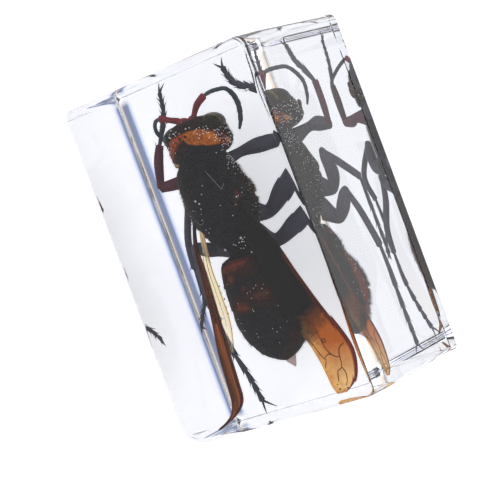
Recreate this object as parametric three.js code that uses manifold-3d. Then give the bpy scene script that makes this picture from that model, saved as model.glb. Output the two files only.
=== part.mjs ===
import * as THREE from 'three';
import { mergeVertices } from 'three/addons/utils/BufferGeometryUtils.js';
import Module from 'manifold-3d';

// A large wasp cast in a block of clear resin.
// Millimetres, +Z up. The block rests on its back face at Z = 0, centred on the origin.
// The wasp lies back upwards, with its head towards +Y and its right side towards +X.

const BLOCK_WIDTH = 28;
const BLOCK_LENGTH = 43;
const BLOCK_HEIGHT = 21;
const PARTING_HEIGHT = BLOCK_HEIGHT / 2;
const EDGE_ROUNDING = 0.7;
const EDGE_STEPS = 3;
const HEAD_LEFT_CORNER = 1.0;
const HEAD_RIGHT_CORNER = 1.7;
const TAIL_LEFT_CORNER = 3.0;
const TAIL_RIGHT_CORNER = 1.7;
const CORNER_STEPS = 5;

const POCKET_GAP = 0.32;
const WING_THICKNESS = 0.3;
const CLAW_ROOT = 0.2;
const CLAW_TIP = 0.1;
const PARTING_BOX = 100;

// The wasp's body is pressed flat low down on its left. The flat's normal leans this far from
// straight down, and along it the flat lies this far from the middle line of the block's back face.
const FLANK_LEAN = (31.9 * Math.PI) / 180;
const FLANK_REACH = 6.0;
const FLANK_SOFTNESS = 0.8;

const wasp = { bodySides: 20, lumpSides: 10, lumpRows: 6, limbSides: 6, wingSteps: 12, gap: 0 };
const pocket = { bodySides: 10, lumpSides: 6, lumpRows: 4, limbSides: 5, wingSteps: 9, gap: POCKET_GAP };

// Sections of the body, each [y, half width, half height, centre x, centre z].
const HEAD = [
  [15.2, 0, 0, -0.5, 12.0],
  [15.0, 2.2, 2.3, -0.5, 11.9],
  [14.2, 3.7, 3.7, -0.5, 11.4],
  [13.2, 4.3, 4.5, -0.6, 11.0],
  [12.0, 4.5, 4.8, -0.7, 10.6],
  [11.1, 4.3, 4.7, -0.8, 10.4],
  [10.3, 3.4, 3.4, -0.8, 10.9],
  [9.8, 0, 0, -0.8, 11.4],
];
const THORAX = [
  [10.7, 0, 0, -0.7, 12.2],
  [10.4, 2.7, 2.2, -0.7, 12.2],
  [9.5, 4.1, 3.2, -0.8, 12.2],
  [8.2, 4.5, 3.7, -0.8, 12.1],
  [6.8, 4.7, 4.1, -0.6, 11.9],
  [5.3, 4.8, 4.7, -0.3, 11.6],
  [3.8, 4.6, 4.5, -0.2, 11.6],
  [2.2, 4.2, 4.1, 0, 11.7],
  [0.6, 3.4, 3.4, 0.2, 11.9],
  [-0.6, 2.2, 2.1, 0.3, 12.1],
  [-1.5, 1.2, 1.2, 0.4, 12.2],
  [-2.4, 0, 0, 0.4, 12.2],
];
const GASTER = [
  [-1.4, 0, 0, 0.4, 12.3],
  [-1.7, 2.3, 1.6, 0.5, 12.3],
  [-2.3, 3.7, 2.3, 0.5, 12.3],
  [-3.6, 4.3, 2.9, 0.7, 12.2],
  [-5.2, 4.7, 3.1, 0.8, 12.1],
  [-6.7, 4.8, 3.7, 0.8, 11.8],
  [-8.1, 4.9, 4.4, 0.8, 11.5],
  [-9.6, 4.9, 4.6, 0.8, 11.3],
  [-11.0, 4.6, 4.25, 0.7, 11.1],
  [-12.1, 4.3, 3.5, 0.7, 11.0],
  [-13.1, 3.6, 2.9, 0.7, 11.0],
  [-14.1, 2.6, 2.2, 0.6, 10.9],
  [-14.9, 1.3, 1.2, 0.6, 10.8],
  [-15.3, 0, 0, 0.6, 10.7],
];

// Each eye and jaw is [x, y, z, half width, half length, half height].
const EYES = [
  [2.2, 13.7, 11.2, 1.7, 1.3, 2.9],
  [-3.1, 13.7, 11.9, 1.7, 1.3, 2.6],
];
const JAWS = [
  [1.3, 12.0, 7.4, 1.0, 1.1, 1.3],
  [-0.7, 12.2, 8.1, 1.0, 1.1, 1.3],
];

// A limb runs outwards from the body through [x, y, z, radius].
const STING = [
  [0.7, -14.2, 10.6, 1.1],
  [0.7, -15.3, 10.0, 0.7],
  [0.7, -16.2, 9.6, 0.2],
];
const RIGHT_ANTENNA = [
  [0.4, 14.2, 11.2, 0.35],
  [0.6, 15.3, 11.4, 0.24],
  [1.5, 16.4, 11.9, 0.3],
  [2.9, 17.0, 12.3, 0.36],
  [3.6, 17.2, 11.5, 0.28],
  [4.2, 17.2, 9.9, 0.27],
  [4.6, 17.0, 8.3, 0.28],
  [4.8, 16.1, 7.0, 0.3],
  [4.6, 14.8, 5.9, 0.31],
  [4.2, 13.2, 5.9, 0.27],
  [3.7, 12.1, 6.3, 0.16],
];
const LEFT_ANTENNA = [
  [-1.3, 14.2, 11.2, 0.35],
  [-1.8, 15.4, 11.5, 0.26],
  [-3.0, 16.0, 11.9, 0.28],
  [-4.2, 16.6, 12.1, 0.34],
  [-5.2, 16.5, 11.2, 0.27],
  [-6.0, 16.0, 10.2, 0.28],
  [-6.5, 15.3, 9.0, 0.29],
  [-6.6, 14.5, 7.7, 0.3],
  [-6.3, 13.4, 6.9, 0.26],
  [-5.8, 12.6, 6.5, 0.16],
];

// A leg's thigh ends at its knee, where its shin and foot turn back.
const RIGHT_FRONT_LEG = {
  thigh: [[0.4, 8.8, 9.6, 1.2], [2.7, 9.5, 7.2, 0.62], [5.8, 9.5, 6.8, 0.95], [9.7, 9.0, 7.2, 0.66]],
  shin: [
    [9.9, 11.5, 7.0, 0.62], [9.1, 14.2, 6.4, 0.6], [7.1, 16.2, 6.4, 0.4],
    [5.4, 17.7, 6.5, 0.45], [4.7, 19.4, 6.8, 0.38],
  ],
  claws: [[3.8, 20.3, 7.2], [5.1, 20.6, 7.0]],
};
const LEFT_FRONT_LEG = {
  thigh: [[-2.2, 8.7, 9.4, 1.2], [-4.1, 9.0, 8.3, 0.64], [-6.2, 8.8, 8.6, 0.78], [-8.9, 9.0, 8.8, 0.6]],
  shin: [
    [-8.1, 11.9, 8.4, 0.66], [-7.0, 14.3, 7.8, 0.5], [-5.6, 16.3, 7.7, 0.38],
    [-5.0, 17.8, 7.6, 0.38], [-4.7, 19.6, 7.6, 0.34],
  ],
  claws: [[-4.3, 20.8, 7.5], [-3.6, 20.5, 7.6]],
};
const RIGHT_MIDDLE_LEG = {
  thigh: [
    [2.6, 2.4, 8.8, 1.3], [4.2, 1.9, 7.7, 0.85], [7.0, 3.5, 8.5, 1.2],
    [10.2, 5.3, 10.9, 0.95], [11.6, 6.1, 12.0, 0.62],
  ],
  shin: [[11.3, 4.4, 9.2, 0.55], [11.0, 2.0, 5.7, 0.5], [10.7, -2.5, 5.4, 0.42], [10.2, -7.7, 5.0, 0.34]],
  claws: [[9.8, -8.6, 4.8], [10.8, -8.5, 5.3]],
};
const LEFT_MIDDLE_LEG = {
  thigh: [[-2.6, 2.2, 9.0, 1.3], [-4.0, 2.4, 8.5, 0.85], [-4.9, 3.9, 9.1, 0.95], [-5.75, 5.5, 10.0, 0.62]],
  shin: [
    [-8.4, 1.8, 7.6, 0.5], [-8.8, -1.5, 7.8, 0.42], [-8.8, -5.4, 8.4, 0.38],
    [-9.65, -6.9, 8.6, 0.32], [-10.6, -8.3, 8.5, 0.28],
  ],
  claws: [[-10.9, -9.3, 8.4]],
};
const RIGHT_HIND_LEG = {
  thigh: [
    [2.2, -0.2, 9.8, 1.5], [4.1, -1.6, 8.7, 0.85], [7.2, -0.6, 9.0, 1.1],
    [9.3, 0.4, 9.3, 1.0], [10.6, 1.0, 9.4, 0.65],
  ],
  shin: [
    [10.7, -2.0, 8.0, 0.6], [10.6, -4.9, 6.6, 0.6], [10.4, -9.5, 6.3, 0.45],
    [10.1, -13.5, 6.2, 0.44], [9.9, -18.8, 6.0, 0.42],
  ],
  claws: [[9.4, -19.9, 6.6], [10.2, -19.9, 5.2]],
};
const LEFT_HIND_LEG = {
  thigh: [[-1.8, -0.6, 9.9, 1.4], [-3.6, -0.4, 9.8, 0.85], [-5.1, 0.1, 10.2, 0.9], [-6.6, 0.9, 10.8, 0.65]],
  shin: [
    [-7.1, -2.0, 10.2, 0.58], [-8.0, -5.4, 8.7, 0.58], [-8.1, -10.0, 8.2, 0.42],
    [-7.7, -12.4, 8.1, 0.42], [-6.6, -16.1, 8.3, 0.4], [-5.8, -19.1, 8.9, 0.42],
  ],
  claws: [[-4.3, -20.3, 9.2], [-5.6, -20.7, 9.0]],
};
const LEGS = [
  RIGHT_FRONT_LEG, LEFT_FRONT_LEG, RIGHT_MIDDLE_LEG,
  LEFT_MIDDLE_LEG, RIGHT_HIND_LEG, LEFT_HIND_LEG,
];

// A wing is a thin sheet between two edges, each drawn from root to tip.
const RIGHT_FOREWING = {
  front: [
    [3.4, 4.6, 14.3], [5.1, 1.0, 15.1], [6.6, -2.0, 15.3], [7.7, -6.0, 15.0], [8.9, -10.0, 14.6],
    [10.1, -14.0, 13.8], [10.4, -16.2, 13.4], [9.9, -18.2, 13.1], [8.9, -19.8, 12.8], [7.3, -20.7, 12.4],
  ],
  back: [
    [2.4, 4.0, 15.0], [2.8, 1.0, 15.9], [3.1, -2.0, 15.9], [3.6, -6.0, 15.7], [4.2, -10.0, 15.1],
    [5.1, -13.8, 13.8], [5.4, -16.2, 13.0], [5.4, -18.2, 12.3], [5.5, -19.8, 12.1], [5.9, -20.7, 12.1],
  ],
};
const LEFT_FOREWING = {
  front: [
    [-3.4, 4.4, 14.2], [-4.7, 1.0, 14.0], [-5.0, -3.0, 13.7], [-5.5, -8.0, 13.5], [-5.9, -12.0, 13.4],
    [-6.2, -16.0, 13.4], [-6.5, -18.1, 13.4], [-7.8, -19.4, 13.5], [-9.8, -20.3, 13.6], [-11.3, -20.8, 13.8],
  ],
  back: [
    [-4.2, 4.0, 13.4], [-5.65, 1.0, 12.9], [-6.3, -3.0, 12.8], [-7.1, -8.0, 12.8], [-7.9, -12.0, 12.8],
    [-8.3, -16.0, 12.8], [-8.5, -18.1, 13.0], [-9.1, -19.4, 13.2], [-10.2, -20.2, 13.4], [-11.4, -20.65, 13.7],
  ],
};
const LEFT_HINDWING = {
  front: [
    [-3.6, 2.6, 14.1], [-5.0, -2.0, 13.8], [-5.4, -5.0, 13.6], [-5.6, -8.0, 13.5], [-5.8, -12.2, 13.4],
  ],
  back: [
    [-3.0, 2.0, 14.5], [-3.8, -2.0, 14.0], [-3.8, -5.0, 14.0], [-4.1, -9.0, 13.8], [-5.3, -12.4, 13.5],
  ],
};
const WINGS = [RIGHT_FOREWING, LEFT_FOREWING, LEFT_HINDWING];

const wasm = await Module();
wasm.setup();

// Flat-sided shapes lie inside the round ones they stand for. A pocket's lie outside instead.
function outsideScale(sides, gap) {
  return gap > 0 ? 1 / Math.cos(Math.PI / sides) : 1;
}

function toSolid(geometry) {
  geometry.deleteAttribute('normal');
  geometry.deleteAttribute('uv');
  const merged = mergeVertices(geometry, 1e-5);
  const vertProperties = new Float32Array(merged.attributes.position.array);
  const triVerts = new Uint32Array(merged.index.array);
  return new wasm.Manifold(new wasm.Mesh({ numProp: 3, vertProperties, triVerts }));
}

function toGeometry(solid) {
  const mesh = solid.getMesh();
  const geometry = new THREE.BufferGeometry();
  geometry.setAttribute('position', new THREE.BufferAttribute(mesh.vertProperties, 3));
  geometry.setIndex(new THREE.BufferAttribute(mesh.triVerts, 1));
  geometry.computeVertexNormals();
  return geometry;
}

function joinAll(solids) {
  return solids.reduce((joined, solid) => joined.add(solid));
}

// A closed skin over rings of points, with a point at each end. Rings run from first to last
// and each turns the way that makes the skin face outwards.
function skin(rings, sides, adjust = () => {}) {
  const geometry = new THREE.SphereGeometry(1, sides, rings.length - 1);
  const position = geometry.attributes.position;
  for (let index = 0; index < position.count; index += 1) {
    const ring = rings[Math.floor(index / (sides + 1))];
    const angle = ((index % (sides + 1)) / sides) * Math.PI * 2;
    const point = ring.centre.clone();
    point.addScaledVector(ring.across, Math.cos(angle));
    point.addScaledVector(ring.upward, Math.sin(angle));
    adjust(point);
    position.setXYZ(index, point.x, point.y, point.z);
  }
  return toSolid(geometry);
}

// Moves a point that lies beyond the flat flank back towards it, gently where the flat begins.
function pressFlank(point, form) {
  const reach = point.x * Math.sin(FLANK_LEAN) + point.z * Math.cos(FLANK_LEAN);
  const start = FLANK_REACH - form.gap + FLANK_SOFTNESS;
  const beyond = start - reach;
  if (beyond <= 0) {
    return;
  }
  const push = beyond - FLANK_SOFTNESS * (1 - Math.exp(-beyond / FLANK_SOFTNESS));
  point.x += push * Math.sin(FLANK_LEAN);
  point.z += push * Math.cos(FLANK_LEAN);
}

function loftedBody(sections, form) {
  const scale = outsideScale(form.bodySides, form.gap);
  const rings = sections.map(([y, halfWidth, halfHeight, x, z], index) => {
    const isEnd = index === 0 || index === sections.length - 1;
    const width = isEnd ? 0 : (halfWidth + form.gap) * scale;
    const height = isEnd ? 0 : (halfHeight + form.gap) * scale;
    const push = isEnd ? form.gap * (index === 0 ? 1 : -1) : 0;
    return {
      centre: new THREE.Vector3(x, y + push, z),
      across: new THREE.Vector3(-width, 0, 0),
      upward: new THREE.Vector3(0, 0, height),
    };
  });
  return skin(rings, form.bodySides, (point) => pressFlank(point, form));
}

function ellipsoid([x, y, z, halfWidth, halfLength, halfHeight], form) {
  const scale = outsideScale(form.lumpSides, form.gap);
  const geometry = new THREE.SphereGeometry(1, form.lumpSides, form.lumpRows);
  geometry.scale(
    (halfWidth + form.gap) * scale,
    (halfLength + form.gap) * scale,
    (halfHeight + form.gap) * scale,
  );
  geometry.translate(x, y, z);
  return toSolid(geometry);
}

// A limb's rings lie across the path, halfway between the stretches that meet at each joint.
// Each ring's first direction follows on from the last one's, so that the skin doesn't twist.
function limb(joints, form) {
  const points = joints.map(([x, y, z]) => new THREE.Vector3(x, y, z));
  const stretches = points.slice(1).map((point, index) => point.clone().sub(points[index]).normalize());
  const scale = outsideScale(form.limbSides, form.gap);
  const last = joints.length - 1;
  const side = new THREE.Vector3(0.3, 0.2, 1);
  const rings = points.map((centre, index) => {
    const before = stretches[Math.max(index - 1, 0)];
    const after = stretches[Math.min(index, last - 1)];
    const along = before.clone().add(after).normalize();
    side.addScaledVector(along, -side.dot(along)).normalize();
    const size = (joints[index][3] + form.gap) * scale;
    return {
      centre,
      across: side.clone().multiplyScalar(size),
      upward: new THREE.Vector3().crossVectors(side, along).multiplyScalar(size),
    };
  });
  const tip = (index, direction) => ({
    centre: points[index].clone().addScaledVector(direction, joints[index][3] / 2 + form.gap),
    across: new THREE.Vector3(),
    upward: new THREE.Vector3(),
  });
  const start = tip(0, stretches[0].clone().negate());
  const end = tip(last, stretches[last - 1]);
  return skin([start, ...rings, end], form.limbSides);
}

// A pocket has one wide spike around both claws of a foot.
function clawJoints(leg, form) {
  const foot = leg.shin[leg.shin.length - 1].slice(0, 3);
  if (form.gap === 0) {
    return leg.claws.map((tip) => [[...foot, CLAW_ROOT], [...tip, CLAW_TIP]]);
  }
  const tips = new THREE.Box3().setFromPoints(leg.claws.map((tip) => new THREE.Vector3(...tip)));
  const middle = tips.getCenter(new THREE.Vector3());
  const reach = tips.getSize(new THREE.Vector3()).length() / 2;
  return [[[...foot, CLAW_ROOT], [...middle.toArray(), CLAW_TIP + reach]]];
}

function legSolids(leg, form) {
  const knee = leg.thigh[leg.thigh.length - 1];
  const stretches = [leg.thigh, [knee, ...leg.shin], ...clawJoints(leg, form)];
  return stretches.map((joints) => limb(joints, form));
}

function curveThrough(points) {
  return new THREE.CatmullRomCurve3(points.map((point) => new THREE.Vector3(...point)));
}

function wingSheet(wing, form) {
  const frontEdge = curveThrough(wing.front);
  const backEdge = curveThrough(wing.back);
  const thickness = WING_THICKNESS + 2 * form.gap;
  const geometry = new THREE.BoxGeometry(1, 1, 1, form.wingSteps, 1, 1);
  const position = geometry.attributes.position;
  for (let index = 0; index < position.count; index += 1) {
    const along = position.getX(index) + 0.5;
    const front = frontEdge.getPoint(along);
    const back = backEdge.getPoint(along);
    const chord = back.clone().sub(front).normalize();
    const run = frontEdge.getTangent(along).add(backEdge.getTangent(along)).normalize();
    const face = new THREE.Vector3().crossVectors(run, chord).normalize();
    const isBack = position.getY(index) > 0;
    const point = isBack ? back : front;
    point.addScaledVector(chord, isBack ? form.gap : -form.gap);
    point.addScaledVector(face, position.getZ(index) * thickness);
    const endPush = { 0: -form.gap, 1: form.gap }[along] ?? 0;
    point.addScaledVector(run, endPush);
    position.setXYZ(index, point.x, point.y, point.z);
  }
  return toSolid(geometry);
}

function waspForm(form) {
  return joinAll([
    ...[HEAD, THORAX, GASTER].map((sections) => loftedBody(sections, form)),
    ...[...EYES, ...JAWS].map((lump) => ellipsoid(lump, form)),
    ...[STING, RIGHT_ANTENNA, LEFT_ANTENNA].map((joints) => limb(joints, form)),
    ...LEGS.flatMap((leg) => legSolids(leg, form)),
    ...WINGS.map((wing) => wingSheet(wing, form)),
  ]);
}

// The block's outline is drawn inside its edge rounding, which the bevel then adds.
function blockOutline() {
  const right = BLOCK_WIDTH / 2 - EDGE_ROUNDING;
  const head = BLOCK_LENGTH / 2 - EDGE_ROUNDING;
  const corners = [
    { x: right, y: head, radius: HEAD_RIGHT_CORNER, start: 0 },
    { x: -right, y: head, radius: HEAD_LEFT_CORNER, start: 1 },
    { x: -right, y: -head, radius: TAIL_LEFT_CORNER, start: 2 },
    { x: right, y: -head, radius: TAIL_RIGHT_CORNER, start: 3 },
  ];
  const outline = new THREE.Shape();
  corners.forEach(({ x, y, radius, start }) => {
    const inset = radius - EDGE_ROUNDING;
    const from = (start * Math.PI) / 2;
    const centreX = x - Math.sign(x) * inset;
    const centreY = y - Math.sign(y) * inset;
    outline.absarc(centreX, centreY, inset, from, from + Math.PI / 2, false);
  });
  outline.closePath();
  return outline;
}

function resinBlock() {
  const geometry = new THREE.ExtrudeGeometry(blockOutline(), {
    depth: BLOCK_HEIGHT - 2 * EDGE_ROUNDING,
    bevelEnabled: true,
    bevelSize: EDGE_ROUNDING,
    bevelThickness: EDGE_ROUNDING,
    bevelSegments: EDGE_STEPS,
    curveSegments: CORNER_STEPS,
  });
  geometry.translate(0, 0, EDGE_ROUNDING);
  return toSolid(geometry);
}

function halfSpace(side) {
  const geometry = new THREE.BoxGeometry(PARTING_BOX, PARTING_BOX, PARTING_BOX);
  geometry.translate(0, 0, PARTING_HEIGHT + (side * PARTING_BOX) / 2);
  return toSolid(geometry);
}

function namedMesh(name, solid, look) {
  const mesh = new THREE.Mesh(toGeometry(solid), new THREE.MeshStandardMaterial(look));
  mesh.name = name;
  return mesh;
}

const clearResin = { color: 0xf2f4f8, roughness: 0.03, metalness: 0, transparent: true, opacity: 0.25 };
const darkChitin = { color: 0x33303a, roughness: 0.4, metalness: 0 };

const waspPocket = waspForm(pocket);
const hollowBlock = resinBlock().subtract(waspPocket);

const model = new THREE.Group();
model.add(
  namedMesh('resin_upper_half', hollowBlock.intersect(halfSpace(1)), clearResin),
  namedMesh('resin_lower_half', hollowBlock.intersect(halfSpace(-1)), clearResin),
  namedMesh('wasp', waspForm(wasp), darkChitin),
);

export default model;
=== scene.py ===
import math
import random

import bmesh
import bpy
import numpy as np
from mathutils import Matrix, Vector, noise
from mathutils.bvhtree import BVHTree


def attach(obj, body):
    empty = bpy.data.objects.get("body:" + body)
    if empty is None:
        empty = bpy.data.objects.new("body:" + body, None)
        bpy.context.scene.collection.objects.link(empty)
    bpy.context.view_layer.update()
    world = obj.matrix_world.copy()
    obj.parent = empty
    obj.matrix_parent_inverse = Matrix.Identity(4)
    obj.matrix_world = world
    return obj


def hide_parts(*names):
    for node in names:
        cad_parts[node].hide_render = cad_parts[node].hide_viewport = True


# A large wasp cast in a block of clear resin, lying on its back face.
# Lengths in this file are millimetres, and unit turns them into Blender's metres.

unit = 0.001
scene = bpy.context.scene
seed = 41
random.seed(seed)
noise.seed_set(seed)

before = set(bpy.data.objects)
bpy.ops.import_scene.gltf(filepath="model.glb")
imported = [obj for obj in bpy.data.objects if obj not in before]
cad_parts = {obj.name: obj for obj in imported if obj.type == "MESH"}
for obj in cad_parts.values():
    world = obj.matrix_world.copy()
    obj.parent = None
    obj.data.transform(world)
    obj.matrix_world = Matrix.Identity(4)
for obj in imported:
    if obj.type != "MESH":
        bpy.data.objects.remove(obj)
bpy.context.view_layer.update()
print("frame loaded:", ", ".join(sorted(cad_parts)))


def linearColour(hexText):
    channels = [int(hexText[i:i + 2], 16) / 255 for i in (1, 3, 5)]
    return [c / 12.92 if c <= 0.04045 else ((c + 0.055) / 1.055) ** 2.4 for c in channels] + [1.0]


def addNode(tree, kind, settings=None, links=None):
    # a setting whose key is no property of the node goes to the socket of that name or number
    node = tree.nodes.new(kind)
    plain = {key: value for key, value in (settings or {}).items() if hasattr(node, str(key))}
    for key, value in plain.items():
        setattr(node, key, value)
    for key, value in (settings or {}).items():
        if key not in plain:
            node.inputs[key].default_value = linearColour(value) if isinstance(value, str) else value
    for key, socket in (links or {}).items():
        tree.links.new(socket, node.inputs[key])
    return node


def newMaterial(name):
    material = bpy.data.materials.new(name)
    material.use_nodes = True
    tree = material.node_tree
    tree.nodes.clear()
    output = addNode(tree, "ShaderNodeOutputMaterial")
    return material, tree, output


def smoothPath(points, steps):
    # a Catmull-Rom curve through points that may carry a radius or more after x, y and z
    table = [np.array(p, float) for p in points]
    table = [table[0]] + table + [table[-1]]
    path = []
    for i in range(1, len(table) - 2):
        a, b, c, d = table[i - 1:i + 3]
        for step in range(steps):
            t = step / steps
            path.append(0.5 * (2 * b + (c - a) * t + (2 * a - 5 * b + 4 * c - d) * t * t
                               + (3 * b - a - 3 * c + d) * t ** 3))
    path.append(table[-1])
    return path


def evenPath(path, count):
    # the same path with points evenly far apart
    path = np.array(path)
    lengths = np.linalg.norm(np.diff(path[:, :3], axis=0), axis=1)
    travelled = np.concatenate([[0], np.cumsum(lengths)])
    wanted = np.linspace(0, travelled[-1], count)
    return [np.array(row) for row in zip(*(np.interp(wanted, travelled, column) for column in path.T))]


def ringsToPart(rings, startPoint, endPoint):
    sides = len(rings[0])
    points = [tuple(p) for ring in rings for p in ring] + [tuple(startPoint), tuple(endPoint)]
    first, last = len(points) - 2, len(points) - 1
    faces = []
    for r in range(len(rings) - 1):
        for s in range(sides):
            n = (s + 1) % sides
            faces.append((r * sides + s, r * sides + n, (r + 1) * sides + n, (r + 1) * sides + s))
    tail = (len(rings) - 1) * sides
    for s in range(sides):
        n = (s + 1) % sides
        faces.append((first, n, s))
        faces.append((last, tail + s, tail + n))
    return points, faces


def tube(path, sides, roundness=0.6):
    # a closed tube along points with x, y, z and radius
    path = [np.array(p, float) for p in path]
    spots = [Vector(p[:3]) for p in path]
    side = Vector((0.31, 0.22, 0.92))   # no tube here starts in this direction
    rings = []
    for i, spot in enumerate(spots):
        ahead = (spots[min(i + 1, len(spots) - 1)] - spots[max(i - 1, 0)]).normalized()
        side = (side - ahead * side.dot(ahead)).normalized()
        other = ahead.cross(side)
        radius = path[i][3]
        rings.append([spot + side * (math.cos(a) * radius) + other * (math.sin(a) * radius)
                      for a in (2 * math.pi * k / sides for k in range(sides))])
    start = spots[0] - (spots[1] - spots[0]).normalized() * path[0][3] * roundness
    end = spots[-1] + (spots[-1] - spots[-2]).normalized() * path[-1][3] * roundness
    return ringsToPart(rings, start, end)


def cone(start, end, radius, sides=4):
    start, end = Vector(start), Vector(end)
    ahead = (end - start).normalized()
    side = ahead.orthogonal().normalized()
    other = ahead.cross(side)
    points = [start + (side * math.cos(a) + other * math.sin(a)) * radius
              for a in (2 * math.pi * k / sides for k in range(sides))]
    points.append(end)
    faces = [(k, (k + 1) % sides, sides) for k in range(sides)] + [tuple(range(sides))[::-1]]
    return [tuple(p) for p in points], faces


def lump(centre, halfSizes, rows, sides, rough=0.0, bumpsPerMillimetre=0.8):
    rings = []
    for row in range(1, rows):
        polar = math.pi * row / rows
        rings.append([Vector((centre[0] + halfSizes[0] * math.sin(polar) * math.cos(a),
                              centre[1] + halfSizes[1] * math.sin(polar) * math.sin(a),
                              centre[2] + halfSizes[2] * math.cos(polar)))
                      for a in (2 * math.pi * k / sides for k in range(sides))])
    top = (centre[0], centre[1], centre[2] + halfSizes[2])
    bottom = (centre[0], centre[1], centre[2] - halfSizes[2])
    points, faces = ringsToPart(rings, top, bottom)
    if rough:
        points = [tuple(Vector(p) + noise.noise_vector(Vector(p) * bumpsPerMillimetre) * rough)
                  for p in points]
    return points, faces


def joinParts(parts):
    points, faces = [], []
    for partPoints, partFaces in parts:
        start = len(points)
        points.extend(partPoints)
        faces.extend(tuple(start + i for i in face) for face in partFaces)
    return points, faces


def newPiece(name, parts, material, smooth=True):
    points, faces = joinParts(parts)
    mesh = bpy.data.meshes.new(name)
    mesh.from_pydata([Vector(p) * unit for p in points], [], faces)
    shell = bmesh.new()
    shell.from_mesh(mesh)
    bmesh.ops.recalc_face_normals(shell, faces=shell.faces)
    for face in shell.faces:
        face.smooth = smooth
    shell.to_mesh(mesh)
    shell.free()
    piece = bpy.data.objects.new(name, mesh)
    scene.collection.objects.link(piece)
    mesh.materials.append(material)
    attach(piece, "root")
    return piece


def paintStrokes(piece, name, strokes, softness):
    # an attribute that is 1 along strokes of points with x, y, z and radius, and fades to 0
    mesh = piece.data
    spots = np.zeros(len(mesh.vertices) * 3)
    mesh.vertices.foreach_get("co", spots)
    spots = spots.reshape(-1, 3) / unit
    nearest = np.full(len(spots), 1e9)
    for stroke in strokes:
        pairs = list(zip(stroke, stroke[1:])) or [(stroke[0], stroke[0])]
        for a, b in pairs:
            a, b = np.array(a, float), np.array(b, float)
            along = b[:3] - a[:3]
            share = np.clip(((spots - a[:3]) @ along) / max(along @ along, 1e-9), 0, 1)
            away = np.linalg.norm(spots - a[:3] - share[:, None] * along, axis=1)
            nearest = np.minimum(nearest, away - (a[3] + (b[3] - a[3]) * share))
    weight = np.clip(0.5 - nearest / softness, 0, 1)
    weight = weight * weight * (3 - 2 * weight)
    attribute = mesh.attributes.new(name, "FLOAT", "POINT")
    attribute.data.foreach_set("value", weight.astype(np.float32))


def paintMarkings(piece, markings):
    for name, _, softness, strokes in markings:
        paintStrokes(piece, name, strokes, softness)


studio = {
    "cameraAt": (118.63, 2.03, 183.78),
    "lookAlong": (-0.57251, -0.01783, -0.81970),
    "pictureRight": (0.77160, -0.34979, -0.53130),
    "lensLength": 126.4,
    "sensorWidth": 36.0,
    "floorSize": 1600.0,
    "floorGap": 0.05,          # the air film that keeps the back face a mirror at low angles
    "floorColour": "#F7F7F7", "floorMottle": "#FCFCFC", "mottleSize": 25.0,
    "floorGlow": 0.58,         # a pale light table under the block
    "skyTop": "#FFFFFF",
    "skySide": "#77736B",      # the dim room near the horizon draws the block's edges
    "skySideFrom": 0.02, "skySideUntil": 0.6,
    "brightEndsFrom": 0.15, "brightEndsFull": 0.5,   # beyond the block's two ends the room is bright
    "skyStrength": 0.95,
    "softboxPower": 0.35,
    "softboxSize": 260.0,
    "softboxAt": (-60.0, 160.0, 420.0),
}


def placeCamera(look):
    zAxis = -Vector(look["lookAlong"]).normalized()
    xAxis = Vector(look["pictureRight"]).normalized()
    yAxis = zAxis.cross(xAxis).normalized()
    turn = Matrix((xAxis, yAxis, zAxis)).transposed().to_4x4()
    lens = bpy.data.cameras.new("pictureCamera")
    lens.lens = look["lensLength"]
    lens.sensor_width = look["sensorWidth"]
    lens.clip_start = 0.01
    lens.clip_end = 20
    camera = bpy.data.objects.new("pictureCamera", lens)
    camera.matrix_world = Matrix.Translation(Vector(look["cameraAt"]) * unit) @ turn
    scene.collection.objects.link(camera)
    scene.camera = camera


def lightStudio(look):
    world = bpy.data.worlds.new("softStudio")
    scene.world = world
    world.use_nodes = True
    tree = world.node_tree
    tree.nodes.clear()
    place = addNode(tree, "ShaderNodeTexCoord")
    height = addNode(tree, "ShaderNodeSeparateXYZ", links={0: place.outputs["Generated"]})
    lengthways = addNode(tree, "ShaderNodeMath", {"operation": "ABSOLUTE"}, {0: height.outputs["Y"]})
    climb, bright = [
        addNode(tree, "ShaderNodeMapRange", {"From Min": look[start], "From Max": look[end]},
                {"Value": socket})
        for start, end, socket in (("skySideFrom", "skySideUntil", height.outputs["Z"]),
                                   ("brightEndsFrom", "brightEndsFull", lengthways.outputs[0]))]
    share = addNode(tree, "ShaderNodeMath", {"operation": "MAXIMUM"},
                    {0: climb.outputs[0], 1: bright.outputs[0]})
    colour = addNode(tree, "ShaderNodeMix", {"data_type": "RGBA", 6: look["skySide"], 7: look["skyTop"]},
                     {0: share.outputs[0]})
    sky = addNode(tree, "ShaderNodeBackground", {"Strength": look["skyStrength"]},
                  {"Color": colour.outputs[2]})
    output = addNode(tree, "ShaderNodeOutputWorld")
    tree.links.new(sky.outputs[0], output.inputs["Surface"])

    lamp = bpy.data.lights.new("softbox", "AREA")
    lamp.energy = look["softboxPower"]
    lamp.size = look["softboxSize"] * unit
    softbox = bpy.data.objects.new("softbox", lamp)
    softbox.location = Vector(look["softboxAt"]) * unit
    softbox.rotation_euler = (-softbox.location).to_track_quat("-Z", "Y").to_euler()
    scene.collection.objects.link(softbox)


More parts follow.
